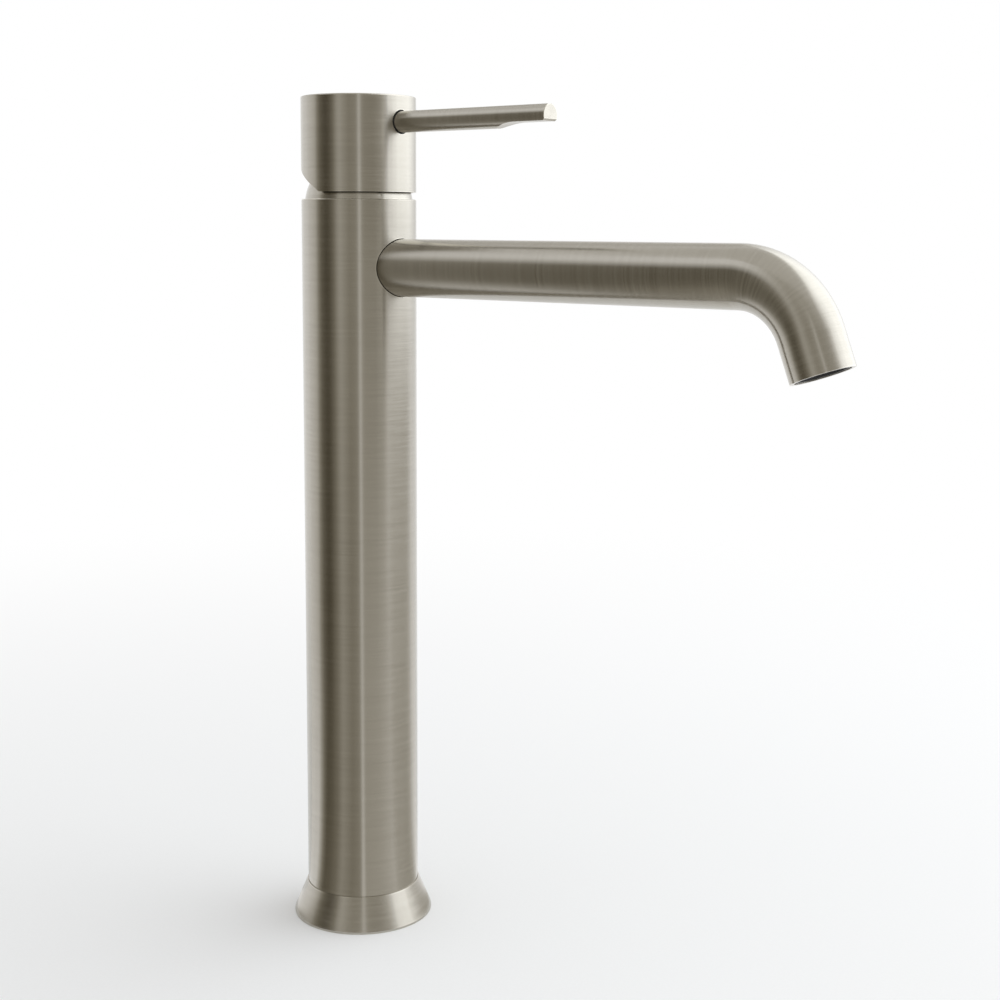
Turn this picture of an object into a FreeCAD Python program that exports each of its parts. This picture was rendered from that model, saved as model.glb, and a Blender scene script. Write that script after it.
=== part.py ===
import FreeCAD, Part
import math
import os

from FreeCAD import Vector
from Sketcher import Constraint

# Driving dimensions, in millimetres and degrees.
SIZES = {
    # Column and foot
    "column_diameter": 45.0,
    "column_wall": 2.0,
    "column_top": 290.6,
    "column_chamfer": 0.3,
    "flange_flare": 5.55,
    "flange_height": 13.3,
    "flange_lip": 0.35,
    "flange_land": 0.8,
    "gasket_inset": 1.5,
    "gasket_width": 2.0,
    "gasket_depth": 1.5,
    "block_step": 3.0,
    "block_height": 28.0,
    # Supply side
    "inlet_spacing": 18.0,
    "inlet_thread": 9.0,
    "inlet_depth": 12.0,
    "riser_diameter": 10.0,
    "riser_wall": 1.0,
    "riser_seat": 15.0,
    "riser_headroom": 2.0,
    "stud_spacing": 26.0,
    "stud_hole": 5.0,
    "stud_depth": 15.0,
    "riser_ring_section": 1.4,
    "riser_ring_groove": 2.0,
    "riser_ring_inset": 4.0,
    # Valve body, by depth below the top of the column or below the spout, and from the outside in
    "valve_depth": 24.2,
    "riser_socket": 12.0,
    "valve_neck_wall": 1.4,
    "outlet_bore": 4.6,
    "outlet_drop": 0.8,
    "nut_wall": 2.8,
    "nut_height": 8.6,
    "nut_slot": 3.0,
    "nut_slot_depth": 1.5,
    # Cartridge, measured down or up from the pivot of the stem
    "pivot_drop": 2.7,
    "cartridge_wall": 1.7,
    "flange_seat": 5.0,
    "cartridge_flange": 2.0,
    "cartridge_base_height": 4.0,
    "base_rim": 1.5,
    "fixed_disc_height": 2.5,
    "moving_disc_height": 2.15,
    "carrier_height": 5.3,
    "disc_offset": 1.75,
    "disc_play": 0.55,
    "inlet_port": 3.6,
    "inlet_port_x": 3.4,
    "inlet_port_y": 5.4,
    "outlet_port": 5.0,
    "outlet_port_x": 5.5,
    "chamber_width": 8.2,
    "chamber_length": 5.0,
    "chamber_depth": 1.2,
    "seal_section": 1.1,
    "ball_arm": 8.0,
    "ball_diameter": 4.4,
    "ball_flat": 1.6,
    "ball_clearance": 0.35,
    "rotor_below": 6.0,
    "rotor_above": 4.0,
    "neck_step": 2.0,
    "neck_height": 3.6,
    "housing_top": 2.5,
    "tongue_width": 2.0,
    "tongue_depth": 2.0,
    "tongue_length": 8.0,
    "tongue_offset": 7.0,
    "pin_diameter": 3.0,
    "pin_inset": 0.4,
    "stem_width": 8.0,
    "stem_below": 3.0,
    "stem_neck": 3.0,
    "slot_wall": 1.6,
    "slot_front": 6.4,
    # Dome between column and cap
    "dome_inset": 1.3,
    "dome_wall": 1.2,
    "dome_height": 8.4,
    "skirt_depth": 7.0,
    "skirt_wall": 1.9,
    "dome_ring_section": 1.6,
    # Handle
    "cap_gap": 2.7,
    "cap_height": 36.7,
    "cap_skirt_wall": 1.0,
    "cap_wall": 3.5,
    "cap_edge": 0.4,
    "relief_angle": 30.0,
    "skirt_rise": 18.6,
    "hub_diameter": 18.0,
    "hub_rise": 15.1,
    "socket_roof": 3.3,
    "screw_drop": 3.5,
    "screw_diameter": 4.0,
    "screw_length": 5.5,
    "key_width": 2.0,
    "key_depth": 2.5,
    "plug_diameter": 5.2,
    "plug_recess": 0.2,
    "lever_drop": 10.2,
    "lever_diameter": 8.2,
    "lever_reach": 93.5,
    "lever_flat": 13.5,
    "lever_flat_level": 2.06,
    "lever_ramp_radius": 25.5,
    "lever_chamfer": 0.7,
    "lever_edge": 0.2,
    "lever_thread": 6.0,
    "lever_root": 6.0,
    "lever_seat": 2.0,
    "lever_ring": 0.55,
    "lever_ring_recess": 0.6,
    # Spout and aerator
    "spout_drop": 26.4,
    "spout_diameter": 22.2,
    "spout_wall": 1.5,
    "spout_straight": 172.1,
    "bend_radius": 28.3,
    "bend_angle": 69.6,
    "spout_tail": 13.4,
    "spout_sink": 4.3,
    "spigot_length": 13.8,
    "spigot_wall": 3.0,
    "nose_length": 3.0,
    "nose_step": 0.6,
    "nose_ring_section": 1.4,
    "nose_ring_groove": 2.0,
    "aerator_height": 8.7,
    "aerator_recess": 0.3,
    "aerator_wall": 0.8,
    "aerator_lip": 0.7,
    "lip_height": 1.2,
    "grid_height": 1.5,
    "grid_hole": 2.0,
    "grid_pitch": 2.9,
    "washer_height": 1.5,
    "washer_width": 3.0,
    # Clearances
    "fit_gap": 0.05,
    "shell_gap": 0.1,
    "running_gap": 0.3,
    "shaft_gap": 0.08,
    "pin_gap": 0.06,
    "face_gap": 0.05,
    "joint_gap": 0.25,
    "slide_gap": 0.15,
}

doc = FreeCAD.newDocument("BasinFaucet")
sheet = doc.addObject("Spreadsheet::Sheet", "Sizes")
for row, (alias, value) in enumerate(SIZES.items(), start=1):
    sheet.set(f"A{row}", alias)
    sheet.set(f"B{row}", str(value))
    sheet.setAlias(f"B{row}", alias)
doc.recompute()

pieces = []


class Size:
    """A length or angle that knows its value and the sheet formula behind it."""

    def __init__(self, formula, value):
        self.formula = formula
        self.value = value

    def __add__(self, other):
        other = as_size(other)
        return Size(f"({self.formula} + {other.formula})", self.value + other.value)

    def __sub__(self, other):
        other = as_size(other)
        return Size(f"({self.formula} - {other.formula})", self.value - other.value)

    def __rsub__(self, other):
        return as_size(other) - self

    def __mul__(self, other):
        other = as_size(other)
        return Size(f"({self.formula} * {other.formula})", self.value * other.value)

    def __truediv__(self, other):
        other = as_size(other)
        return Size(f"({self.formula} / {other.formula})", self.value / other.value)

    def __neg__(self):
        return Size(f"(0 - {self.formula})", -self.value)

    __radd__ = __add__
    __rmul__ = __mul__


def as_size(number):
    if isinstance(number, Size):
        return number
    return Size(f"({number:.9g})", float(number))


def size(alias):
    return Size(f"Sizes.{alias}", SIZES[alias])


def sine(angle):
    return Size(f"sin({angle.formula})", math.sin(math.radians(angle.value)))


def cosine(angle):
    return Size(f"cos({angle.formula})", math.cos(math.radians(angle.value)))


def leg(hypotenuse, side):
    """The third side of a right triangle."""
    square = hypotenuse * hypotenuse - side * side
    return Size(f"sqrt({square.formula})", math.sqrt(square.value))


# ---------------------------------------------------------------- sketches


def origin_plane(body, role):
    return next(feature for feature in body.Origin.OriginFeatures if feature.Role == role)


def new_sketch(body, name, role):
    sketch = body.newObject("Sketcher::SketchObject", name)
    sketch.AttachmentSupport = (origin_plane(body, role), [""])
    sketch.MapMode = "FlatFace"
    return sketch


def hold(sketch, kind, first, second, distance):
    """Bind the distance along one axis from the sketch's origin to a point."""
    if distance.value < 0:
        first, second, distance = second, first, -distance
    index = sketch.addConstraint(Constraint(kind, *first, *second, distance.value))
    sketch.setExpression(f"Constraints[{index}]", distance.formula)


def hold_point(sketch, geometry, position, x, y):
    """Fix a point of the sketch at (x, y), or at x alone where y is None."""
    origin = (-1, 1)
    point = (geometry, position)
    if x.value == 0:
        sketch.addConstraint(Constraint("PointOnObject", *point, -2))
    else:
        hold(sketch, "DistanceX", origin, point, x)
    if y is None:
        return
    if y.value == 0:
        sketch.addConstraint(Constraint("PointOnObject", *point, -1))
    else:
        hold(sketch, "DistanceY", origin, point, y)


def arc_between(start, end, centre_x):
    """The short arc about a centre at centre_x, and whether it runs from start to end."""
    centre_y = (
        end.x ** 2 - start.x ** 2 + end.y ** 2 - start.y ** 2 - 2 * centre_x * (end.x - start.x)
    ) / (2 * (end.y - start.y))
    centre = Vector(centre_x, centre_y, 0)
    first = math.atan2(start.y - centre_y, start.x - centre_x)
    last = math.atan2(end.y - centre_y, end.x - centre_x)
    circle = Part.Circle(centre, Vector(0, 0, 1), (start - centre).Length)
    forward = (last - first) % (2 * math.pi) < math.pi
    if forward:
        return Part.ArcOfCircle(circle, first, last), forward
    return Part.ArcOfCircle(circle, last, first), forward


def draw_outline(sketch, corners, closed=True):
    """Lines through the corners; a third value is the centre's x of the arc that leads there."""
    corners = [tuple(as_size(value) for value in corner) for corner in corners]
    points = [Vector(corner[0].value, corner[1].value, 0) for corner in corners]
    count = len(corners) if closed else len(corners) - 1
    ends = []
    for i in range(count):
        start = points[i]
        end = points[(i + 1) % len(points)]
        target = corners[(i + 1) % len(points)]
        if len(target) == 3:
            curve, forward = arc_between(start, end, target[2].value)
            geometry = sketch.addGeometry(curve, False)
            hold_point(sketch, geometry, 3, target[2], None)
            ends.append((geometry, 1, 2) if forward else (geometry, 2, 1))
        else:
            geometry = sketch.addGeometry(Part.LineSegment(start, end), False)
            ends.append((geometry, 1, 2))
    for i, corner in enumerate(corners):
        leaving = ends[i] if i < count else None
        arriving = ends[i - 1] if closed or i > 0 else None
        if leaving and arriving:
            sketch.addConstraint(
                Constraint("Coincident", arriving[0], arriving[2], leaving[0], leaving[1])
            )
        geometry, position = leaving[:2] if leaving else (arriving[0], arriving[2])
        hold_point(sketch, geometry, position, corner[0], corner[1])


def draw_circle(sketch, radius, x, y):
    circle = Part.Circle(Vector(x.value, y.value, 0), Vector(0, 0, 1), radius.value)
    geometry = sketch.addGeometry(circle, False)
    hold_point(sketch, geometry, 3, x, y)
    index = sketch.addConstraint(Constraint("Radius", geometry, radius.value))
    sketch.setExpression(f"Constraints[{index}]", radius.formula)


# ---------------------------------------------------------------- solids


def turned(name, corners, axis="V_Axis"):
    """A body turned on a lathe: an outline in the XZ plane, round the Z or X axis."""
    body = doc.addObject("PartDesign::Body", name)
    sketch = new_sketch(body, f"{name}_outline", "XZ_Plane")
    draw_outline(sketch, corners)
    revolution = body.newObject("PartDesign::Revolution", f"{name}_turning")
    revolution.Profile = sketch
    revolution.ReferenceAxis = (sketch, [axis])
    revolution.Angle = 360
    sketch.Visibility = False
    return body


def ring(name, inner, outer, bottom, top):
    return turned(name, [(inner, bottom), (outer, bottom), (outer, top), (inner, top)])


def place(item, at, axis=Vector(0, 0, 1), angle=0):
    """Move an object to a bound position, after an optional turn about an axis."""
    item.Placement = FreeCAD.Placement(Vector(0, 0, 0), FreeCAD.Rotation(axis, as_size(angle).value))
    if isinstance(angle, Size):
        item.setExpression("Placement.Rotation.Angle", angle.formula)
    for letter, distance in zip("xyz", at):
        item.setExpression(f"Placement.Base.{letter}", as_size(distance).formula)
    return item


def along(direction):
    """Turn that takes +Z to the named direction."""
    turns = {
        "z": (Vector(0, 0, 1), 0),
        "x": (Vector(0, 1, 0), 90),
        "y": (Vector(1, 0, 0), -90),
    }
    return turns[direction]


def cylinder(name, radius, height, at, direction="z"):
    item = doc.addObject("Part::Cylinder", name)
    item.setExpression("Radius", as_size(radius).formula)
    item.setExpression("Height", as_size(height).formula)
    return place(item, at, *along(direction))


def box(name, length, width, height, at):
    """A box whose lowest corner is at the given point."""
    item = doc.addObject("Part::Box", name)
    for side, distance in (("Length", length), ("Width", width), ("Height", height)):
        item.setExpression(side, as_size(distance).formula)
    return place(item, at)


def torus(name, centre_radius, section, at, direction="z"):
    """An O-ring, by the radius of its centre line and the diameter of its section."""
    item = doc.addObject("Part::Torus", name)
    item.setExpression("Radius1", centre_radius.formula)
    item.setExpression("Radius2", (section / 2).formula)
    return place(item, at, *along(direction))


def fuse(name, *items):
    fusion = doc.addObject("Part::MultiFuse", name)
    fusion.Shapes = list(items)
    return fusion


def cut(name, base, *tools):
    removal = doc.addObject("Part::Cut", name)
    removal.Base = base
    removal.Tool = tools[0] if len(tools) == 1 else fuse(f"{name}_tools", *tools)
    return removal


def group(name, *items):
    compound = doc.addObject("Part::Compound", name)
    compound.Links = list(items)
    return compound


def piece(label, item):
    """Label a finished sub-part and list it for export."""
    item.Label = label
    pieces.append(item)
    return item


# ---------------------------------------------------------------- shared places

fit_gap = size("fit_gap")
shell_gap = size("shell_gap")
running_gap = size("running_gap")
face_gap = size("face_gap")

column_radius = size("column_diameter") / 2
column_bore = column_radius - size("column_wall")
column_top = size("column_top")
pivot = column_top - size("pivot_drop")
spout_level = column_top - size("spout_drop")
spout_radius = size("spout_diameter") / 2
spout_bore = spout_radius - size("spout_wall")
spout_seat = column_radius - size("spout_sink")
nose_radius = spout_bore - size("nose_step")
gasket_inner = column_radius + size("gasket_inset")
gasket_outer = gasket_inner + size("gasket_width")

inlet_offset = size("inlet_spacing") / 2
riser_radius = size("riser_diameter") / 2
riser_socket_radius = riser_radius + fit_gap
valve_bottom = spout_level - size("valve_depth")
riser_socket_top = valve_bottom + size("riser_socket")
riser_ring_radius = riser_socket_radius + size("riser_ring_section") / 2
riser_groove_radius = riser_socket_radius + size("riser_ring_section") + fit_gap
lower_ring_level = size("block_height") - size("riser_ring_inset")
upper_ring_level = valve_bottom + size("riser_ring_inset")

skirt_outer = column_bore - shell_gap
skirt_inner = skirt_outer - size("skirt_wall")
valve_neck_radius = skirt_inner - shell_gap
nut_radius = valve_neck_radius - size("valve_neck_wall")
cartridge_radius = nut_radius - size("nut_wall") - 2 * shell_gap
cartridge_bore = cartridge_radius - size("cartridge_wall")
disc_radius = cartridge_bore - shell_gap
moving_disc_radius = cartridge_bore - size("disc_offset") - size("disc_play")
rotor_radius = cartridge_bore - running_gap
neck_radius = rotor_radius - size("neck_step")
carrier_top = pivot - size("rotor_below") - 2 * shell_gap
carrier_bottom = carrier_top - size("carrier_height")
moving_disc_bottom = carrier_bottom - size("moving_disc_height")
fixed_disc_top = moving_disc_bottom - face_gap
fixed_disc_bottom = fixed_disc_top - size("fixed_disc_height")
cartridge_bottom = fixed_disc_bottom - size("cartridge_base_height")
cavity_floor = cartridge_bottom - 2 * shell_gap
flange_seat = pivot - size("flange_seat")
flange_top = flange_seat + size("cartridge_flange")
skirt_bottom = column_top - size("skirt_depth")
dome_ring_level = skirt_bottom - size("dome_ring_section") / 2 - fit_gap
valve_shoulder = skirt_bottom - size("dome_ring_section") - 2 * fit_gap

cap_bottom = column_top + size("cap_gap")
cap_top = cap_bottom + size("cap_height")
hub_bottom = pivot + size("hub_rise")
hub_radius = size("hub_diameter") / 2
lever_level = cap_top - size("lever_drop")
socket_top = lever_level - size("lever_thread") / 2 - size("socket_roof")
screw_level = socket_top - size("screw_drop")
lever_radius = size("lever_diameter") / 2
lever_shoulder = column_radius - size("lever_seat")
cap_inner = column_radius - size("cap_wall")

INLET_SIDES = (("hot", -1), ("cold", 1))


# ---------------------------------------------------------------- column and foot


def column_tube():
    chamfer = size("column_chamfer")
    tube = turned(
        "column_turned",
        [
            (column_bore, size("block_step")),
            (column_radius, size("block_step")),
            (column_radius, column_top - chamfer),
            (column_radius - chamfer, column_top),
            (column_bore, column_top),
        ],
    )
    radius = spout_radius + size("joint_gap")
    opening = cylinder("spout_opening", radius, column_radius + shell_gap, (0, 0, spout_level), "x")
    piece("column_tube", cut("column", tube, opening))


def base_flange():
    bore = column_radius + fit_gap
    piece(
        "base_flange",
        turned(
            "flange",
            [
                (bore, 0),
                (gasket_inner, 0),
                (gasket_inner, size("gasket_depth")),
                (gasket_outer, size("gasket_depth")),
                (gasket_outer, 0),
                (column_radius + size("flange_flare"), 0),
                (column_radius + size("flange_flare"), size("flange_land")),
                (column_radius + size("flange_lip"), size("flange_height")),
                (bore, size("flange_height")),
            ],
        ),
    )


def base_gasket():
    inner = gasket_inner + fit_gap
    piece("base_gasket", ring("gasket", inner, gasket_outer - fit_gap, 0, size("gasket_depth")))


def base_block():
    step = size("block_step")
    shoulder = column_radius - shell_gap
    blank = turned(
        "block_turned",
        [
            (0, 0),
            (shoulder, 0),
            (shoulder, step),
            (column_bore - fit_gap, step),
            (column_bore - fit_gap, size("block_height")),
            (0, size("block_height")),
        ],
    )
    tools = []
    groove = size("riser_ring_groove")
    for name, side in INLET_SIDES:
        y = side * inlet_offset
        seat = size("riser_seat")
        tools += [
            cylinder(f"{name}_port", size("inlet_thread") / 2, size("inlet_depth"), (0, y, 0)),
            cylinder(f"{name}_passage", riser_radius - size("riser_wall"), seat, (0, y, 0)),
            cylinder(f"{name}_foot", riser_socket_radius, size("block_height") - seat, (0, y, seat)),
            cylinder(
                f"{name}_foot_groove", riser_groove_radius, groove, (0, y, lower_ring_level - groove / 2)
            ),
        ]
    for side in (-1, 1):
        x = side * size("stud_spacing") / 2
        tools.append(cylinder("stud_hole", size("stud_hole") / 2, size("stud_depth"), (x, 0, 0)))
    piece("base_block", cut("block", blank, *tools))


def risers():
    bottom = size("riser_seat") + fit_gap
    length = riser_socket_top - size("riser_headroom") - bottom
    for name, side in INLET_SIDES:
        at = (0, side * inlet_offset, bottom)
        outside = cylinder(f"{name}_outside", riser_radius, length, at)
        inside = cylinder(f"{name}_inside", riser_radius - size("riser_wall"), length, at)
        piece(f"{name}_riser", cut(f"{name}_tube", outside, inside))


def riser_o_rings():
    rings = []
    for name, side in INLET_SIDES:
        for level in (lower_ring_level, upper_ring_level):
            at = (0, side * inlet_offset, level)
            rings.append(torus(f"{name}_ring", riser_ring_radius, size("riser_ring_section"), at))
    piece("riser_o_rings", group("riser_rings", *rings))


# ---------------------------------------------------------------- valve body


def valve_body():
    top = column_top - running_gap
    blank = turned(
        "valve_turned",
        [
            (0, valve_bottom),
            (skirt_outer, valve_bottom),
            (skirt_outer, valve_shoulder),
            (valve_neck_radius, valve_shoulder),
            (valve_neck_radius, top),
            (nut_radius, top),
            (nut_radius, flange_seat),
            (cartridge_radius + shell_gap, flange_seat),
            (cartridge_radius + shell_gap, cavity_floor),
            (0, cavity_floor),
        ],
    )
    tools = []
    groove = size("riser_ring_groove")
    for name, side in INLET_SIDES:
        y = side * inlet_offset
        tools += [
            cylinder(f"{name}_head", riser_socket_radius, size("riser_socket"), (0, y, valve_bottom)),
            cylinder(
                f"{name}_head_groove", riser_groove_radius, groove, (0, y, upper_ring_level - groove / 2)
            ),
            cylinder(
                f"{name}_channel",
                size("inlet_port") / 2,
                cavity_floor - riser_socket_top,
                (size("inlet_port_x"), side * size("inlet_port_y"), riser_socket_top),
            ),
        ]
    outlet_level = spout_level - size("outlet_drop")
    fall_bottom = outlet_level - size("outlet_port") / 2
    nose_floor = spout_seat - size("nose_length") - 2 * shell_gap
    tools += [
        cylinder(
            "outlet_fall",
            size("outlet_port") / 2,
            cavity_floor - fall_bottom,
            (-size("outlet_port_x"), 0, fall_bottom),
        ),
        cylinder(
            "outlet_run",
            size("outlet_bore") / 2,
            nose_floor + size("outlet_port_x"),
            (-size("outlet_port_x"), 0, outlet_level),
            "x",
        ),
        cylinder(
            "nose_socket",
            nose_radius + shell_gap,
            spout_seat - nose_floor,
            (nose_floor, 0, spout_level),
            "x",
        ),
        cylinder(
            "spout_face",
            spout_radius + running_gap,
            column_radius - spout_seat,
            (spout_seat, 0, spout_level),
            "x",
        ),
    ]
    piece("valve_body", cut("valve", blank, *tools))


def retaining_nut():
    bottom = flange_top
    top = bottom + size("nut_height")
    inner = cartridge_radius + shell_gap
    blank = ring("nut_turned", inner, nut_radius - shell_gap, bottom, top)
    depth = size("nut_slot_depth")
    width = size("nut_slot")
    across = 2 * nut_radius
    slots = [
        box("nut_slot_x", across, width, depth, (-across / 2, -width / 2, top - depth)),
        box("nut_slot_y", width, across, depth, (-width / 2, -across / 2, top - depth)),
    ]
    piece("retaining_nut", cut("nut", blank, *slots))


def dome_cover():
    outer = column_radius - size("dome_inset")
    inner = outer - size("dome_wall")
    dome_top = column_top + size("dome_height")
    base_rise = column_top - pivot
    top_rise = dome_top - pivot
    piece(
        "dome_cover",
        turned(
            "dome",
            [
                (skirt_inner, skirt_bottom),
                (skirt_outer, skirt_bottom),
                (skirt_outer, column_top),
                (leg(outer, base_rise), column_top),
                (leg(outer, top_rise), dome_top, 0),
                (leg(inner, top_rise), dome_top),
                (leg(inner, base_rise), column_top, 0),
                (skirt_inner, column_top),
            ],
        ),
    )


def dome_o_ring():
    radius = (skirt_inner + skirt_outer) / 2
    piece("dome_o_ring", torus("dome_ring", radius, size("dome_ring_section"), (0, 0, dome_ring_level)))


# ---------------------------------------------------------------- cartridge


def port_tools(name, bottom, height):
    """Cutters for the two inlet ports and the outlet port."""
    inlet = size("inlet_port") / 2
    outlet = size("outlet_port") / 2
    x = size("inlet_port_x")
    y = size("inlet_port_y")
    return [
        cylinder(f"{name}_hot_port", inlet, height, (x, -y, bottom)),
        cylinder(f"{name}_cold_port", inlet, height, (x, y, bottom)),
        cylinder(f"{name}_outlet_port", outlet, height, (-size("outlet_port_x"), 0, bottom)),
    ]


def seal_places():
    """Port radius and position of each of the three seals."""
    x = size("inlet_port_x")
    y = size("inlet_port_y")
    inlet = size("inlet_port") / 2
    return [
        (inlet, (x, -y)),
        (inlet, (x, y)),
        (size("outlet_port") / 2, (-size("outlet_port_x"), 0)),
    ]


def cartridge_base():
    rim_top = cartridge_bottom + size("base_rim")
    blank = turned(
        "cartridge_base_turned",
        [
            (0, cartridge_bottom),
            (cartridge_radius - shell_gap, cartridge_bottom),
            (cartridge_radius - shell_gap, rim_top),
            (disc_radius, rim_top),
            (disc_radius, fixed_disc_bottom),
            (0, fixed_disc_bottom),
        ],
    )
    tools = port_tools("base", cartridge_bottom, size("cartridge_base_height"))
    recess = size("seal_section") - shell_gap
    for port_radius, (x, y) in seal_places():
        radius = port_radius + size("seal_section") + 2 * fit_gap
        tools.append(cylinder("seal_recess", radius, recess, (x, y, cartridge_bottom)))
    piece("cartridge_base", cut("cartridge_foot", blank, *tools))


def port_seals():
    level = cavity_floor + fit_gap + size("seal_section") / 2
    seals = []
    for port_radius, (x, y) in seal_places():
        radius = port_radius + size("seal_section") / 2 + fit_gap
        seals.append(torus("port_seal", radius, size("seal_section"), (x, y, level)))
    piece("port_seals", group("seals", *seals))


def fixed_disc():
    height = size("fixed_disc_height")
    blank = cylinder("fixed_blank", disc_radius, height, (0, 0, fixed_disc_bottom))
    piece("fixed_disc", cut("fixed_ceramic", blank, *port_tools("fixed", fixed_disc_bottom, height)))


def moving_disc():
    radius = moving_disc_radius
    height = size("moving_disc_height")
    blank = cylinder("moving_blank", radius, height, (-size("disc_offset"), 0, moving_disc_bottom))
    depth = size("chamber_depth")
    half = size("chamber_width") / 2
    length = size("chamber_length")
    tools = [
        cylinder("chamber_front", half, depth, (0, 0, moving_disc_bottom)),
        cylinder("chamber_back", half, depth, (-length, 0, moving_disc_bottom)),
        box("chamber_middle", length, 2 * half, depth, (-length, -half, moving_disc_bottom)),
    ]
    piece("moving_disc", cut("moving_ceramic", blank, *tools))


def disc_carrier():
    radius = moving_disc_radius
    offset = size("disc_offset")
    blank = cylinder("carrier_blank", radius, size("carrier_height"), (-offset, 0, carrier_bottom))
    ball_radius = size("ball_diameter") / 2
    socket_floor = pivot - size("ball_arm") - ball_radius - running_gap
    socket_radius = ball_radius + size("ball_clearance")
    tools = [cylinder("ball_socket", socket_radius, carrier_top - socket_floor, (0, 0, socket_floor))]
    width = size("tongue_width") + 2 * size("slide_gap")
    depth = size("tongue_depth") + size("running_gap")
    for side in (-1, 1):
        y = side * size("tongue_offset") - width / 2
        at = (-radius - offset, y, pivot - size("rotor_below") - depth)
        tools.append(box("tongue_slot", 2 * radius, width, depth, at))
    piece("disc_carrier", cut("carrier", blank, *tools))


def rotor():
    bottom = pivot - size("rotor_below")
    shoulder = pivot + size("rotor_above")
    top = shoulder + size("neck_height")
    blank = turned(
        "rotor_turned",
        [
            (0, bottom),
            (rotor_radius, bottom),
            (rotor_radius, shoulder),
            (neck_radius, shoulder),
            (neck_radius, top),
            (0, top),
        ],
    )
    tongues = []
    width = size("tongue_width")
    length = size("tongue_length")
    for side in (-1, 1):
        at = (-length / 2, side * size("tongue_offset") - width / 2, bottom - size("tongue_depth"))
        tongues.append(box("tongue", length, width, size("tongue_depth") + width, at))
    slot_width = size("stem_width") + 2 * size("slide_gap")
    slot_back = neck_radius - size("slot_wall")
    slot_length = slot_back + size("slot_front")
    slot = box("stem_slot", slot_length, slot_width, top - bottom, (-slot_back, -slot_width / 2, bottom))
    span = 2 * cartridge_bore
    bore = cylinder(
        "rotor_pin_bore", size("pin_diameter") / 2 + fit_gap / 2, span, (0, -cartridge_bore, pivot), "y"
    )
    piece("rotor", cut("rotor_cut", fuse("rotor_blank", blank, *tongues), slot, bore))


def pivot_pin():
    length = 2 * (rotor_radius - size("pin_inset"))
    piece("pivot_pin", cylinder("pin", size("pin_diameter") / 2, length, (0, -length / 2, pivot), "y"))


def cartridge_housing():
    bottom = cartridge_bottom + size("base_rim")
    ceiling = pivot + size("rotor_above") + running_gap
    top = ceiling + size("housing_top")
    opening = neck_radius + size("shaft_gap")
    flange_radius = nut_radius - shell_gap
    piece(
        "cartridge_housing",
        turned(
            "housing",
            [
                (cartridge_bore, bottom),
                (cartridge_radius, bottom),
                (cartridge_radius, flange_seat),
                (flange_radius, flange_seat),
                (flange_radius, flange_top),
                (cartridge_radius, flange_top),
                (cartridge_radius, top),
                (opening, top),
                (opening, ceiling),
                (cartridge_bore, ceiling),
            ],
        ),
    )


# ---------------------------------------------------------------- handle


def stem():
    width = size("stem_width")
    bottom = pivot - size("stem_below")
    top = socket_top - fit_gap
    ball_level = pivot - size("ball_arm")
    bar = box("stem_bar", width, width, top - bottom, (-width / 2, -width / 2, bottom))
    ball_radius = size("ball_diameter") / 2
    flat_radius = size("ball_flat") / 2
    tail_radius = size("stem_neck") / 2
    tail = turned(
        "stem_tail",
        [
            (0, ball_level - leg(ball_radius, flat_radius)),
            (flat_radius, ball_level - leg(ball_radius, flat_radius)),
            (tail_radius, ball_level + leg(ball_radius, tail_radius), 0),
            (tail_radius, bottom + fit_gap),
            (0, bottom + fit_gap),
        ],
    )
    bore = cylinder(
        "stem_pin_bore", size("pin_diameter") / 2 + size("pin_gap"), 2 * width, (0, -width, pivot), "y"
    )
    piece("stem", cut("stem_cut", fuse("stem_blank", bar, tail), bore))


def handle_cap():
    edge = size("cap_edge")
    ceiling = cap_top - size("cap_wall")
    step = pivot + size("skirt_rise")
    skirt = column_radius - size("cap_skirt_wall")
    blank = turned(
        "cap_turned",
        [
            (0, hub_bottom),
            (hub_radius, hub_bottom),
            (hub_radius, ceiling),
            (cap_inner, ceiling),
            (cap_inner, step),
            (skirt, step),
            (skirt, cap_bottom),
            (column_radius, cap_bottom),
            (column_radius, cap_top - edge),
            (column_radius - edge, cap_top, column_radius - edge),
            (0, cap_top),
        ],
    )
    span = size("column_diameter")
    relief = box("relief", span, 2 * span, span, (0, 0, 0))
    place(relief, (0, -span, cap_bottom), Vector(0, 1, 0), size("relief_angle") + 180)
    width = size("stem_width") + 2 * fit_gap
    socket = box(
        "stem_socket", width, width, socket_top - hub_bottom, (-width / 2, -width / 2, hub_bottom)
    )
    thread_start = size("lever_root") - running_gap
    seat = size("lever_seat")
    screw_radius = size("screw_diameter") / 2 + fit_gap
    screw_start = -hub_radius - fit_gap
    screw_bore = cylinder("screw_bore", screw_radius, hub_radius, (screw_start, 0, screw_level), "x")
    plug_radius = size("plug_diameter") / 2
    plug_reach = column_radius - hub_radius
    plug_hole = cylinder("plug_hole", plug_radius, plug_reach, (-column_radius, 0, screw_level), "x")
    thread = cylinder(
        "lever_bore",
        size("lever_thread") / 2 + fit_gap,
        column_radius - thread_start,
        (thread_start, 0, lever_level),
        "x",
    )
    lever_seat = cylinder(
        "lever_seat_bore", lever_radius + size("lever_ring"), 2 * seat, (lever_shoulder, 0, lever_level), "x"
    )
    piece("handle_cap", cut("cap", blank, relief, socket, screw_bore, plug_hole, thread, lever_seat))


def stem_screw():
    start = -size("stem_width") / 2 - fit_gap - size("screw_length")
    screw = cylinder(
        "screw", size("screw_diameter") / 2, size("screw_length"), (start, 0, screw_level), "x"
    )
    width = size("key_width")
    key = box("screw_key", size("key_depth"), width, width, (start, -width / 2, screw_level - width / 2))
    piece("stem_screw", cut("screw_cut", screw, key))


def index_plug():
    start = -column_radius + size("plug_recess")
    radius = size("plug_diameter") / 2 - fit_gap
    length = size("cap_wall") - size("plug_recess")
    piece("index_plug", cylinder("plug", radius, length, (start, 0, screw_level), "x"))


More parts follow.
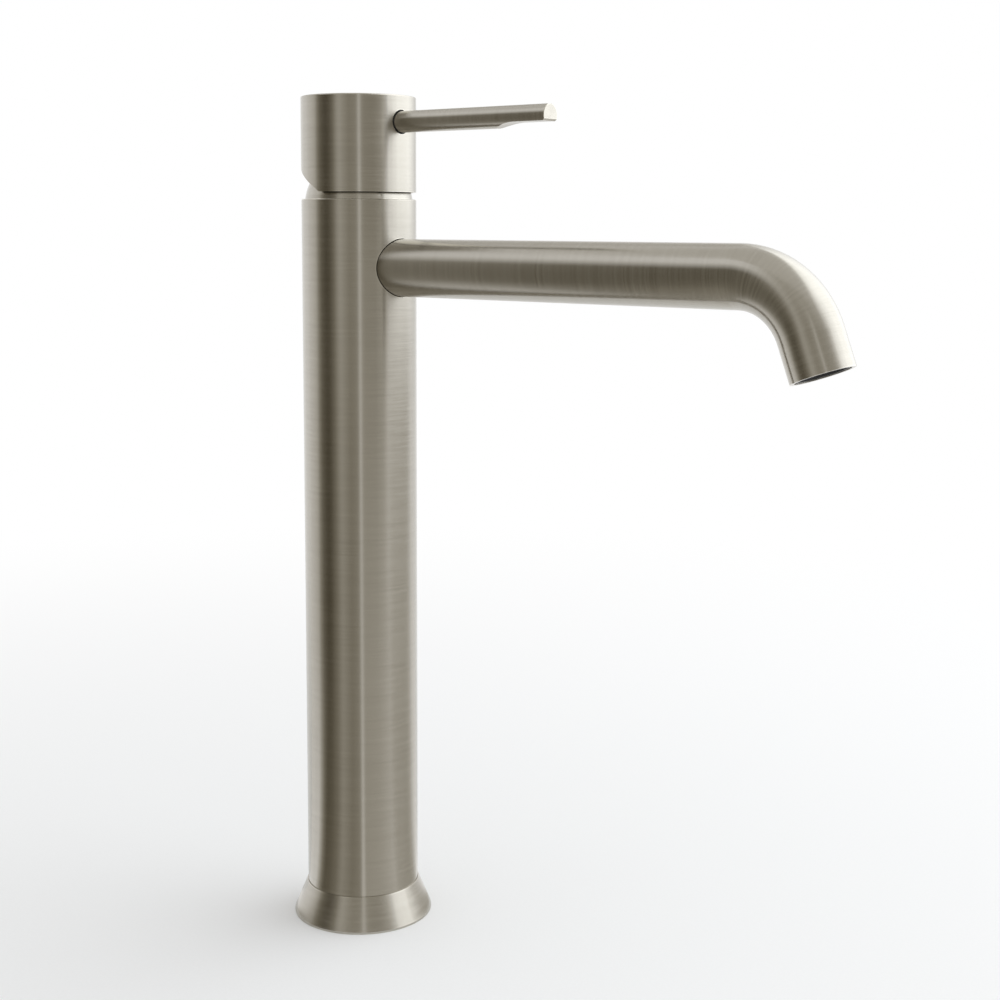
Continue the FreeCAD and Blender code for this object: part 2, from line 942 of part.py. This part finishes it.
def lever_rod():
    """Turned about its own axis with its flat side up, then laid over onto its level."""
    tip = size("lever_reach")
    edge = size("lever_edge")
    thread = size("lever_thread") / 2
    rod = turned(
        "rod_turned",
        [
            (size("lever_root"), 0),
            (size("lever_root"), thread),
            (lever_shoulder + fit_gap, thread),
            (lever_shoulder + fit_gap, lever_radius),
            (tip - edge, lever_radius),
            (tip, lever_radius - edge),
            (tip, 0),
        ],
        "H_Axis",
    )
    level = size("lever_flat_level")
    flat_start = tip - size("lever_flat")
    radius = size("lever_ramp_radius")
    ramp_start = flat_start - leg(radius, radius - (lever_radius - level))
    chamfer = size("lever_chamfer")
    above = lever_radius + chamfer
    beyond = tip + chamfer
    sketch = new_sketch(rod, "flat_outline", "XZ_Plane")
    draw_outline(
        sketch,
        [
            (ramp_start, lever_radius),
            (flat_start, level, flat_start),
            (tip - chamfer, level),
            (tip, level - chamfer),
            (beyond, level - chamfer),
            (beyond, above),
            (ramp_start, above),
        ],
    )
    flat = rod.newObject("PartDesign::Pocket", "flat_milling")
    flat.Profile = sketch
    flat.Midplane = True
    flat.Type = "Length"
    flat.setExpression("Length", (size("lever_diameter") * 2).formula)
    place(rod, (0, 0, lever_level), Vector(1, 0, 0), 180)
    piece("lever_rod", rod)


def lever_o_ring():
    inner = lever_radius + fit_gap
    outer = lever_radius + size("lever_ring") - fit_gap
    start = lever_shoulder + fit_gap
    length = size("lever_seat") - size("lever_ring_recess")
    at = (start, 0, lever_level)
    blank = cylinder("lever_ring_outside", outer, length, at, "x")
    piece("lever_o_ring", cut("lever_ring_cut", blank, cylinder("lever_ring_inside", inner, length, at, "x")))


# ---------------------------------------------------------------- spout


bend_end_x = size("spout_straight") + size("bend_radius") * sine(size("bend_angle"))
bend_end_level = spout_level - size("bend_radius") * (1 - cosine(size("bend_angle")))
outlet_x = bend_end_x + size("spout_tail") * cosine(size("bend_angle"))
outlet_level = bend_end_level - size("spout_tail") * sine(size("bend_angle"))


def spout_tube():
    tube = doc.addObject("PartDesign::Body", "spout")
    path = new_sketch(tube, "spout_path", "XZ_Plane")
    draw_outline(
        path,
        [
            (spout_seat, spout_level),
            (size("spout_straight"), spout_level),
            (bend_end_x, bend_end_level, size("spout_straight")),
            (outlet_x, outlet_level),
        ],
        closed=False,
    )
    section = new_sketch(tube, "spout_section", "YZ_Plane")
    section.setExpression("AttachmentOffset.Base.z", spout_seat.formula)
    for radius in (spout_radius, spout_bore):
        draw_circle(section, radius, as_size(0), spout_level)
    doc.recompute()
    pipe = tube.newObject("PartDesign::AdditivePipe", "spout_bending")
    pipe.Profile = section
    pipe.Spine = path
    piece("spout_tube", tube)


def spout_spigot():
    nose_start = spout_seat - size("nose_length")
    outer = spout_bore - fit_gap
    bore = outer - size("spigot_wall")
    groove = size("nose_ring_groove")
    groove_start = nose_start + (size("nose_length") - groove) / 2
    groove_radius = nose_radius + shell_gap - size("nose_ring_section") - 2 * fit_gap
    spigot = turned(
        "spigot",
        [
            (nose_start, bore),
            (nose_start, nose_radius),
            (groove_start, nose_radius),
            (groove_start, groove_radius),
            (groove_start + groove, groove_radius),
            (groove_start + groove, nose_radius),
            (spout_seat, nose_radius),
            (spout_seat, outer),
            (spout_seat + size("spigot_length"), outer),
            (spout_seat + size("spigot_length"), bore),
        ],
        "H_Axis",
    )
    place(spigot, (0, 0, spout_level))
    piece("spout_spigot", spigot)
    ring_radius = groove_radius + fit_gap + size("nose_ring_section") / 2
    at = (groove_start + groove / 2, 0, spout_level)
    piece("spout_o_ring", torus("spout_ring", ring_radius, size("nose_ring_section"), at, "x"))


def at_outlet(item, distance):
    """Stand an object on the outlet, its +Z pointing up into the spout."""
    angle = size("bend_angle") - 90
    at = (
        outlet_x + distance * sine(angle),
        0,
        outlet_level + distance * cosine(angle),
    )
    return place(item, at, Vector(0, 1, 0), angle)


def aerator():
    outer = spout_bore - fit_gap
    inner = outer - size("aerator_wall")
    lip = inner - size("aerator_lip")
    height = size("aerator_height")
    recess = size("aerator_recess")
    housing = turned(
        "aerator_turned",
        [
            (lip, 0),
            (outer, 0),
            (outer, height),
            (inner, height),
            (inner, size("lip_height")),
            (lip, size("lip_height")),
        ],
    )
    piece("aerator_housing", at_outlet(housing, recess))
    grid_height = size("grid_height")
    blank = cylinder("grid_blank", inner - fit_gap, grid_height, (0, 0, 0))
    holes = [cylinder("grid_hole", size("grid_hole") / 2, grid_height, (0, 0, 0))]
    for circle, count in ((1, 6), (2, 12)):
        for i in range(count):
            turn = 2 * math.pi * i / count
            radius = circle * size("grid_pitch")
            at = (radius * math.cos(turn), radius * math.sin(turn), 0)
            holes.append(cylinder("grid_hole", size("grid_hole") / 2, grid_height, at))
    piece("aerator_grid", at_outlet(cut("grid", blank, *holes), recess + size("lip_height")))
    washer = ring("washer", outer - size("washer_width"), outer, 0, size("washer_height"))
    piece("aerator_washer", at_outlet(washer, recess + height))


# ---------------------------------------------------------------- build


column_tube()
base_flange()
base_gasket()
base_block()
risers()
riser_o_rings()
valve_body()
retaining_nut()
dome_cover()
dome_o_ring()
cartridge_base()
port_seals()
fixed_disc()
moving_disc()
disc_carrier()
rotor()
pivot_pin()
cartridge_housing()
stem()
handle_cap()
stem_screw()
index_plug()
lever_rod()
lever_o_ring()
spout_tube()
spout_spigot()
aerator()

doc.recompute()
for item in doc.Objects:
    faults = {"Invalid", "Error"} & set(item.State)
    if faults:
        raise RuntimeError(f"{item.Label} is {faults}")
for item in pieces:
    if item.Shape.isNull() or not item.Shape.isValid():
        raise RuntimeError(f"{item.Label} has no valid shape")

os.makedirs("parts", exist_ok=True)
for item in pieces:
    item.Shape.exportStep(f"parts/{item.Label}.step")
    print(f"{item.Label}: {len(item.Shape.Solids)} solid(s), {item.Shape.Volume:.1f} mm3")
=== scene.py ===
import math

import bpy
from mathutils import Matrix, Vector

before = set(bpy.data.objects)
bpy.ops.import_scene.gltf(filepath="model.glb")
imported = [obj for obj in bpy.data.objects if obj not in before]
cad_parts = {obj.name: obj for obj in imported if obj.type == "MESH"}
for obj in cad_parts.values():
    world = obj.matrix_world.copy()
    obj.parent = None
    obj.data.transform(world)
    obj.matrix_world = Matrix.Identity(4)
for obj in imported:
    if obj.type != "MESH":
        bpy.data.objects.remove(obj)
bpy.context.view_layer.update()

# Sizes of the part that its looks follow, in metres
LEVER_LEVEL = 0.3198
SPOUT_LEVEL = 0.2642
BEND_START = 0.1721
BEND_RADIUS = 0.0283
BEND_TURN = math.radians(69.6)

# Camera
CAMERA_AT = (0.4456, -0.4734, 0.2808)
CAMERA_YAW = math.radians(38.34)
CAMERA_PITCH = math.radians(-7.16)
CAMERA_ROLL = math.radians(0.25)
CAMERA_SENSOR = 36.0
CAMERA_LENS = 58.72
CAMERA_SHIFT = -0.07
CAMERA_NEAR = 0.01
CAMERA_FAR = 50.0


# --- Node graphs -----------------------------------------------------------------------------


class Graph:
    """A material's or the world's nodes. A value in it is a node's output, a number or a tuple."""

    def __init__(self, tree):
        self.tree = tree
        tree.nodes.clear()

    def node(self, kind, **settings):
        made = self.tree.nodes.new("ShaderNode" + kind)
        for key, value in settings.items():
            setattr(made, key, value)
        return made

    def feed(self, socket, value):
        if isinstance(value, bpy.types.NodeSocket):
            self.tree.links.new(value, socket)
        else:
            socket.default_value = value

    def math(self, operation, *values):
        made = self.node("Math", operation=operation)
        for socket, value in zip(made.inputs, values):
            self.feed(socket, value)
        return made.outputs[0]

    def weighted(self, *terms):
        """The sum of values, each given with its weight."""
        products = [self.math("MULTIPLY", value, weight) for value, weight in terms]
        total = products[0]
        for product in products[1:]:
            total = self.math("ADD", total, product)
        return total

    def vector(self, operation, *values, output="Vector"):
        made = self.node("VectorMath", operation=operation)
        for socket, value in zip(made.inputs, values):
            self.feed(socket, value)
        return made.outputs[output]

    def scaled(self, vector, factor):
        made = self.node("VectorMath", operation="SCALE")
        self.feed(made.inputs[0], vector)
        self.feed(made.inputs["Scale"], factor)
        return made.outputs[0]

    def parts(self, vector):
        made = self.node("SeparateXYZ")
        self.feed(made.inputs[0], vector)
        return made.outputs

    def joined(self, x, y, z):
        made = self.node("CombineXYZ")
        for socket, value in zip(made.inputs, (x, y, z)):
            self.feed(socket, value)
        return made.outputs[0]

    def noise(self, vector, scale=1.0, detail=2.0, roughness=0.5):
        made = self.node("TexNoise")
        self.feed(made.inputs["Vector"], vector)
        made.inputs["Scale"].default_value = scale
        made.inputs["Detail"].default_value = detail
        made.inputs["Roughness"].default_value = roughness
        return made.outputs[0]

    def span(self, value, low, high, to_low=0.0, to_high=1.0, smooth=False):
        """A value carried from one range to another, and held at the new range's ends."""
        made = self.node("MapRange", interpolation_type="SMOOTHSTEP" if smooth else "LINEAR")
        for socket, given in zip(made.inputs, (value, low, high, to_low, to_high)):
            self.feed(socket, given)
        return made.outputs[0]

    def blend(self, factor, first, second):
        """A colour between two others. A Mix node's colours are its inputs 6 and 7 and output 2."""
        made = self.node("Mix", data_type="RGBA")
        self.feed(made.inputs[0], factor)
        self.feed(made.inputs[6], first)
        self.feed(made.inputs[7], second)
        return made.outputs[2]

    def bump(self, height, depth):
        made = self.node("Bump")
        made.inputs["Distance"].default_value = depth
        self.feed(made.inputs["Height"], height)
        return made.outputs[0]

    def place(self):
        """The point on the surface, in the object's own space."""
        return self.node("TexCoord").outputs["Object"]

    def either(self, factor, first, second):
        """A shader that turns from the first to the second as the factor goes from 0 to 1."""
        made = self.node("MixShader")
        self.feed(made.inputs[0], factor)
        self.tree.links.new(first.outputs[0], made.inputs[1])
        self.tree.links.new(second.outputs[0], made.inputs[2])
        return made

    def end(self, shader, kind="OutputMaterial"):
        self.tree.links.new(shader.outputs[0], self.node(kind).inputs[0])


def opaque(red, green, blue):
    return (red, green, blue, 1.0)


def lighter(colour, factor, lift=0.0):
    """A colour with each part times a factor, plus a lift, and no more than 1."""
    return opaque(*(min(1.0, value * factor + lift) for value in colour))


def new_material(name):
    made = bpy.data.materials.new(name)
    made.use_nodes = True
    return made, Graph(made.node_tree)


def end_with_principled(graph, **inputs):
    """Ends a material. Each input is named as the shader's socket is, with _ for a space."""
    shader = graph.node("BsdfPrincipled")
    for key, value in inputs.items():
        graph.feed(shader.inputs[key.replace("_", " ")], value)
    graph.end(shader)


def edge_mask(graph, radius):
    """1 on a convex or concave edge and 0 on the flat, from how far a rounded normal departs."""
    rounded = graph.node("Bevel", samples=4)
    rounded.inputs["Radius"].default_value = radius
    plain = graph.node("NewGeometry").outputs["Normal"]
    match = graph.vector("DOT_PRODUCT", rounded.outputs[0], plain, output="Value")
    flat, edge = 0.995, 0.93
    return graph.span(match, flat, edge)


# --- Brushed metal ---------------------------------------------------------------------------

# Noise cells per metre, along the grooves and across them
FINE_ALONG, FINE_ACROSS = 60.0, 1800.0
COARSE_ALONG, COARSE_ACROSS = 30.0, 450.0
CLOUD_SCALE = 22.0

# How much each noise tells in the tone, and the stretch of their sum that goes from dark to light
GRAIN_SHARE, STREAK_SHARE, CLOUD_SHARE = 0.55, 0.3, 0.15
TONE_DARK, TONE_LIGHT = 0.32, 0.68

# How far the noises move the roughness, and how an edge departs from the rest: its colour is lightened as
# a painted highlight, and it is smoother
GRAIN_ROUGHNESS = 0.03
CLOUD_ROUGHNESS = 0.02
EDGE_WIDTH = 0.0005
EDGE_HIGHLIGHT_LIGHTER = 1.4
EDGE_SHARE = 0.8
EDGE_POLISH = 0.06

GROOVE_DEPTH = 0.000002
ANISOTROPY = 0.85


def turned_form(graph, axis, through):
    """The direction along a turned form, the arm out to the surface, and the place along it."""
    arm = graph.vector("SUBTRACT", graph.place(), through)
    return axis, arm, graph.vector("DOT_PRODUCT", arm, axis, output="Value")


def upright_form(graph):
    """What turned_form gives for a piece that is turned about the column's axis."""
    return turned_form(graph, (0.0, 0.0, 1.0), (0.0, 0.0, 0.0))


def lever_form(graph):
    """What turned_form gives for the lever, which points along X."""
    return turned_form(graph, (1.0, 0.0, 0.0), (0.0, 0.0, LEVER_LEVEL))


def bent_tube(graph):
    """The same three for the spout: straight along X, then bent down about a centre below it."""
    centre = (BEND_START, 0.0, SPOUT_LEVEL - BEND_RADIUS)
    offset = graph.vector("SUBTRACT", graph.place(), centre)
    x, _, z = graph.parts(offset)
    turn = graph.math("ARCTAN2", graph.math("MAXIMUM", x, 0.0), z)
    turn = graph.math("MINIMUM", graph.math("MAXIMUM", turn, 0.0), BEND_TURN)
    sine = graph.math("SINE", turn)
    cosine = graph.math("COSINE", turn)
    along = graph.joined(cosine, 0.0, graph.math("MULTIPLY", sine, -1.0))
    arm = graph.vector("SUBTRACT", offset, graph.scaled(graph.joined(sine, 0.0, cosine), BEND_RADIUS))
    ahead = graph.vector("DOT_PRODUCT", offset, along, output="Value")
    return along, arm, graph.math("ADD", ahead, graph.math("MULTIPLY", turn, BEND_RADIUS))


def groove_noise(graph, across, along_scale, across_scale, **settings):
    """Noise that is drawn out along the grooves."""
    steps = graph.joined(0.0, 0.0, graph.math("MULTIPLY", across, across_scale))
    drawn_out = graph.vector("ADD", graph.scaled(graph.place(), along_scale), steps)
    return graph.noise(drawn_out, **settings)


def brushed_metal(name, form, light, dark, roughness):
    """Metal brushed round a form, so its highlights stretch along the form and across the grooves."""
    made, graph = new_material(name)
    along, arm, distance = form(graph)
    around = graph.vector("CROSS_PRODUCT", along, arm)
    to_world = graph.node("VectorTransform", vector_type="VECTOR")
    to_world.convert_from, to_world.convert_to = "OBJECT", "WORLD"
    graph.feed(to_world.inputs[0], graph.vector("NORMALIZE", around))
    normal = graph.node("NewGeometry").outputs["Normal"]
    tangent = graph.vector("CROSS_PRODUCT", normal, to_world.outputs[0])

    # Counting the distance from the axis too gives flat ends their rings.
    out_by = graph.vector("LENGTH", around, output="Value")
    across = graph.math("ADD", distance, out_by)
    grain = groove_noise(graph, across, FINE_ALONG, FINE_ACROSS, detail=3.0, roughness=0.6)
    streak = groove_noise(graph, across, COARSE_ALONG, COARSE_ACROSS)
    cloud = graph.noise(graph.place(), scale=CLOUD_SCALE, detail=3.0)
    edge = edge_mask(graph, EDGE_WIDTH)

    tone = graph.weighted((grain, GRAIN_SHARE), (streak, STREAK_SHARE), (cloud, CLOUD_SHARE))
    colour = graph.blend(graph.span(tone, TONE_DARK, TONE_LIGHT), opaque(*dark), opaque(*light))
    # Painted highlight: edges and rims are lightened towards a brighter colour
    lighter_edge = graph.math("MULTIPLY", edge, EDGE_SHARE)
    colour = graph.blend(lighter_edge, colour, lighter(light, EDGE_HIGHLIGHT_LIGHTER))
    by_grain = graph.span(grain, 0.25, 0.75, roughness - GRAIN_ROUGHNESS, roughness + GRAIN_ROUGHNESS)
    by_cloud = graph.span(cloud, 0.3, 0.7, -CLOUD_ROUGHNESS, CLOUD_ROUGHNESS)
    rough = graph.math("ADD", by_grain, by_cloud)
    rough = graph.math("SUBTRACT", rough, graph.math("MULTIPLY", edge, EDGE_POLISH))
    end_with_principled(
        graph,
        Base_Color=colour,
        Metallic=1.0,
        Roughness=rough,
        Anisotropic=ANISOTROPY,
        Tangent=tangent,
        Normal=graph.bump(grain, GROOVE_DEPTH),
    )
    return made


# Each finish: its light and its dark colour, and its roughness
NICKEL = ((0.497, 0.473, 0.423), (0.443, 0.42, 0.373), 0.22)
BRASS = ((0.78, 0.62, 0.34), (0.66, 0.50, 0.24), 0.32)
STEEL = ((0.60, 0.60, 0.61), (0.48, 0.48, 0.49), 0.28)
COPPER = ((0.80, 0.47, 0.32), (0.66, 0.34, 0.22), 0.34)

nickel_turned = brushed_metal("nickel_turned", upright_form, *NICKEL)
nickel_bent = brushed_metal("nickel_bent", bent_tube, *NICKEL)
nickel_lever = brushed_metal("nickel_lever", lever_form, *NICKEL)
brass = brushed_metal("turned_brass", upright_form, *BRASS)
steel = brushed_metal("turned_steel", upright_form, *STEEL)
copper = brushed_metal("drawn_copper", upright_form, *COPPER)


# --- Plastics, ceramic and rubber ------------------------------------------------------------

MOULDED_CLOUD_SCALE = 60.0
MOULDED_TONE_DARK, MOULDED_TONE_LIGHT = 0.7, 1.3
MOULDED_EDGE_WIDTH = 0.0003
MOULDED_EDGE_SHARE = 0.5
SPECK_ROUGHNESS = 0.06


def moulded(name, light, dark, roughness, speck_scale, speck_depth, specular=0.5):
    """A moulded or lapped surface with a fine texture and a broad drift in tone."""
    made, graph = new_material(name)
    speck = graph.noise(graph.place(), scale=speck_scale, detail=3.0)
    cloud = graph.noise(graph.place(), scale=MOULDED_CLOUD_SCALE)
    tone = graph.span(graph.math("ADD", speck, cloud), MOULDED_TONE_DARK, MOULDED_TONE_LIGHT)
    colour = graph.blend(tone, opaque(*dark), opaque(*light))
    # Edges and rims are drawn lighter
    lighter_edge = graph.math("MULTIPLY", edge_mask(graph, MOULDED_EDGE_WIDTH), MOULDED_EDGE_SHARE)
    colour = graph.blend(lighter_edge, colour, lighter(light, 1.15, 0.02))
    end_with_principled(
        graph,
        Base_Color=colour,
        Roughness=graph.span(speck, 0.3, 0.7, roughness - SPECK_ROUGHNESS, roughness + SPECK_ROUGHNESS),
        Specular_IOR_Level=specular,
        Normal=graph.bump(speck, speck_depth),
    )
    return made


# Light colour, dark colour, roughness, specks per metre, and the depth of a speck
white_plastic = moulded("moulded_white", (0.80, 0.80, 0.76), (0.72, 0.72, 0.68), 0.45, 2500.0, 0.00001)
ceramic = moulded("lapped_ceramic", (0.90, 0.90, 0.88), (0.84, 0.84, 0.82), 0.18, 6000.0, 0.000002)
grey_plastic = moulded("moulded_grey", (0.06, 0.06, 0.062), (0.035, 0.035, 0.037), 0.42, 3000.0, 0.000008)
plug_plastic = moulded("plated_plug", (0.50, 0.465, 0.405), (0.42, 0.39, 0.335), 0.30, 3000.0, 0.000004)
rubber = moulded("black_rubber", (0.035, 0.035, 0.035), (0.02, 0.02, 0.02), 0.55, 4000.0, 0.00001, 0.3)

# The look of each of the record's material slots, and of the nodes with a form of their own
LOOKS = {
    "brushed_nickel": nickel_turned,
    "brass": brass,
    "steel": steel,
    "copper": copper,
    "cartridge_plastic": white_plastic,
    "ceramic": ceramic,
    "aerator_plastic": grey_plastic,
    "plug_plastic": plug_plastic,
    "rubber": rubber,
}
OWN_LOOKS = {"spout_tube": nickel_bent, "lever_rod": nickel_lever}

for name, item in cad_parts.items():
    for slot in item.material_slots:
        slot.material = OWN_LOOKS.get(name, LOOKS[slot.material.name.split(".")[0]])


# --- World and floor -------------------------------------------------------------------------

WHITE = opaque(1.0, 1.0, 1.0)
SOFT_LIGHT = 0.8
FLOOR_RADIUS = 8.0
FLOOR_SIDES = 96
FADE_START, FADE_END = 0.04, 0.9
FIBRE_SCALE = 900.0
PAPER_DARK = opaque(0.86, 0.86, 0.855)
PAPER_LIGHT = opaque(0.90, 0.90, 0.895)


def seen_directly(graph):
    """1 for a ray from the camera, a reflection or something clear, and 0 for soft light."""
    path = graph.node("LightPath")
    seen = graph.math("MAXIMUM", path.outputs["Is Camera Ray"], path.outputs["Is Glossy Ray"])
    return graph.math("MAXIMUM", seen, path.outputs["Is Transmission Ray"])


def new_mesh(name, points, faces):
    mesh = bpy.data.meshes.new(name)
    mesh.from_pydata(points, [], faces)
    mesh.update()
    made = bpy.data.objects.new(name, mesh)
    bpy.context.collection.objects.link(made)
    return made


def on_circle(radius, turn, level):
    return (radius * math.cos(turn), radius * math.sin(turn), level)


def light_world():
    """White where it is seen, and a softer white as a light."""
    world = bpy.data.worlds.new("studio")
    bpy.context.scene.world = world
    world.use_nodes = True
    graph = Graph(world.node_tree)
    soft = graph.node("Background")
    soft.inputs["Color"].default_value = WHITE
    soft.inputs["Strength"].default_value = SOFT_LIGHT
    white = graph.node("Background")
    white.inputs["Color"].default_value = WHITE
    graph.end(graph.either(seen_directly(graph), soft, white), "OutputWorld")


def lay_floor():
    """Pale paper that fades into the white backdrop far from the object."""
    turns = [2 * math.pi * i / FLOOR_SIDES for i in range(FLOOR_SIDES)]
    rim = [on_circle(FLOOR_RADIUS, turn, 0.0) for turn in turns]
    floor = new_mesh("floor", rim, [tuple(range(FLOOR_SIDES))])
    made, graph = new_material("floor_paper")
    paper = graph.node("BsdfDiffuse")
    fibre = graph.noise(graph.place(), scale=FIBRE_SCALE, detail=3.0)
    graph.feed(paper.inputs["Color"], graph.blend(fibre, PAPER_DARK, PAPER_LIGHT))
    away = graph.vector("LENGTH", graph.place(), output="Value")
    faded = graph.span(away, FADE_START, FADE_END, smooth=True)
    factor = graph.math("MULTIPLY", faded, seen_directly(graph))
    graph.end(graph.either(factor, paper, graph.node("Emission")))
    floor.data.materials.append(made)


light_world()
lay_floor()


# --- Screens ---------------------------------------------------------------------------------

# Degrees between two rows of a screen's points, and how much a dark grey lacks of green and blue
SCREEN_STEP = 2.0
GREEN_POWER, BLUE_POWER = 1.065, 1.23


def warm(grey):
    """A grey that is warmer the darker it is."""
    return opaque(grey, grey**GREEN_POWER, grey**BLUE_POWER)


def grey_ramp(graph, bearing, greys):
    """Greys that run from one bearing to the next. Each pair is degrees from +X and a grey."""
    ramp = graph.node("ValToRGB")
    graph.feed(ramp.inputs[0], bearing)
    stops = ramp.color_ramp.elements
    while len(stops) < len(greys):
        stops.new(0.5)
    for stop, (angle, grey) in zip(stops, greys):
        stop.position = (angle + 180.0) / 360.0
        stop.color = warm(grey)
    return ramp.outputs[0]


def screen(name, profile, *bands):
    """A screen round part of the set, which only reflections show, with a profile of radius and height.

    Each band is a height and the greys there, and between two heights one turns into the other.
    """
    points = []
    bearing, last = bands[0][1][0][0], bands[0][1][-1][0]
    while bearing <= last:
        turn = math.radians(bearing)
        points += [on_circle(radius, turn, level) for radius, level in profile]
        bearing += SCREEN_STEP
    rows = len(profile)
    faces = []
    for first in range(0, len(points) - rows, rows):
        for i in range(first, first + rows - 1):
            faces.append((i, i + rows, i + rows + 1, i + 1))
    made = new_mesh(name, points, faces)
    material, graph = new_material(name + "_grey")
    x, y, z = graph.parts(graph.place())
    round_set = graph.span(graph.math("ARCTAN2", y, x), -math.pi, math.pi)
    below, greys = bands[0]
    colour = grey_ramp(graph, round_set, greys)
    for level, greys in bands[1:]:
        colour = graph.blend(graph.span(z, below, level), colour, grey_ramp(graph, round_set, greys))
        below = level
    glow = graph.node("Emission")
    graph.feed(glow.inputs[0], colour)
    graph.end(glow)
    made.data.materials.append(material)
    for kind in ("camera", "diffuse", "shadow", "volume_scatter"):
        setattr(made, "visible_" + kind, False)


# The greys round the set, by bearing: what the left, the front, the right and the back reflect
LEFT = [
    (-170, 0.95),
    (-152, 0.80),
    (-143, 0.66),
    (-136, 0.34),
    (-128, 0.18),
    (-116, 0.10),
    (-108, 0.14),
    (-98, 0.28),
]
LEFT_NEAR = [
    (-170, 1.0),
    (-143, 1.0),
    (-136, 0.66),
    (-128, 0.30),
    (-120, 0.16),
    (-108, 0.20),
    (-98, 0.28),
]
LEFT_TOP = [(-170, 1.0), (-115, 1.0), (-98, 0.8)]
FRONT = [
    (-98, 0.30),
    (-90, 0.55),
    (-85, 0.62),
    (-79, 0.52),
    (-66, 0.37),
    (-54, 0.40),
    (-49.5, 0.48),
    (-48, 0.86),
    (-44.5, 0.80),
    (-42, 0.47),
    (-34, 0.37),
    (-18, 0.35),
    (-8, 0.42),
    (-1, 0.50),
    (5, 0.74),
    (12, 1.0),
]
FRONT_LOW = [
    (-98, 0.26),
    (-85, 0.46),
    (-66, 0.32),
    (-54, 0.38),
    (-49.5, 0.48),
    (-48, 0.86),
    (-44.5, 0.80),
    (-42, 0.54),
    (-24, 0.57),
    (-12, 0.60),
    (12, 0.72),
]
FRONT_TOP = [(-98, 0.8), (-84, 0.52), (-45, 0.55), (-20, 0.7), (12, 1.0)]
SIDE = [(12, 0.68), (24, 0.57), (50, 0.52), (62, 0.62), (78, 1.0), (96, 1.0)]
BACK = [(100, 0.95), (120, 0.65), (150, 0.65), (176, 0.9)]
CEILING = [(-180, 0.72), (180, 0.72)]

# Profiles: from the foot of the object outwards over the floor, and then up the walls
FOOT = (0.031, 0.001)
WALL = [FOOT, (0.5, 0.04), (1.0, 0.12), (1.5, 0.3), (1.8, 0.6), (2.0, 1.0), (2.1, 1.8), (2.0, 2.9)]
APRON = [FOOT, (0.7, 0.06), (1.15, 0.16)]
HEADER = [(2.2, 1.2), (2.0, 1.9), (1.9, 2.4)]
COVER = [(2.0, 3.0), (0.02, 3.0)]

screen("left_screen", WALL, (0.008, LEFT_NEAR), (0.03, LEFT), (1.1, LEFT), (2.1, LEFT_TOP))
screen("front_screen", WALL, (0.02, FRONT_LOW), (0.25, FRONT), (0.7, FRONT), (1.6, FRONT_TOP))
screen("side_screen", APRON, (0.0, SIDE))
screen("back_header", HEADER, (0.0, BACK))
screen("ceiling", COVER, (0.0, CEILING))


# --- Lamps -----------------------------------------------------------------------------------

LAMP_COLOUR = (0.91, 0.955, 1.0)
KEY_HEIGHT = 1.0
KEY_DISTANCE = 1.2
KEY_SPACING = 0.02
KEY_LENGTH = 1.8
KEY_AIM = (0.0, 0.0, 0.25)


def key_panel(number, bearing, width, radiance):
    """A rectangular lamp at a bearing in degrees from +X, each a little behind the one before."""
    data = bpy.data.lights.new(f"key_{number}", "AREA")
    data.shape = "RECTANGLE"
    data.size, data.size_y = width, KEY_LENGTH
    data.energy = radiance * math.pi * width * KEY_LENGTH
    data.color = LAMP_COLOUR
    made = bpy.data.objects.new(f"key_{number}", data)
    bpy.context.collection.objects.link(made)
    distance = KEY_DISTANCE + KEY_SPACING * number
    made.location = on_circle(distance, math.radians(bearing), KEY_HEIGHT)
    made.rotation_mode = "QUATERNION"
    made.rotation_quaternion = (Vector(KEY_AIM) - made.location).to_track_quat("-Z", "Y")
    made.visible_camera = False


# Bearing, width and radiance. Narrower panels lie over wider ones, so the middle is the brightest.
KEY_PANELS = [(52, 3.3, 0.32), (52, 2.5, 0.32), (53, 1.8, 0.28), (54, 1.2, 0.28)]
for number, panel in enumerate(KEY_PANELS):
    key_panel(number, *panel)


# --- Camera ----------------------------------------------------------------------------------


def camera_turn():
    """The camera's rotation, from its yaw from +Y, its pitch above the level and its roll."""
    ahead = Vector(
        (
            -math.sin(CAMERA_YAW) * math.cos(CAMERA_PITCH),
            math.cos(CAMERA_YAW) * math.cos(CAMERA_PITCH),
            math.sin(CAMERA_PITCH),
        )
    )
    level = Vector((math.cos(CAMERA_YAW), math.sin(CAMERA_YAW), 0.0))
    rise = level.cross(ahead)
    right = level * math.cos(CAMERA_ROLL) + rise * math.sin(CAMERA_ROLL)
    up = right.cross(ahead)
    return Matrix((right, up, -ahead)).transposed().to_quaternion()


data = bpy.data.cameras.new("camera")
data.sensor_width = CAMERA_SENSOR
data.lens = CAMERA_LENS
data.shift_y = CAMERA_SHIFT
data.clip_start = CAMERA_NEAR
data.clip_end = CAMERA_FAR
camera = bpy.data.objects.new("camera", data)
bpy.context.collection.objects.link(camera)
camera.rotation_mode = "QUATERNION"
camera.rotation_quaternion = camera_turn()
camera.location = CAMERA_AT
bpy.context.scene.camera = camera

bpy.context.scene.view_settings.view_transform = "Standard"
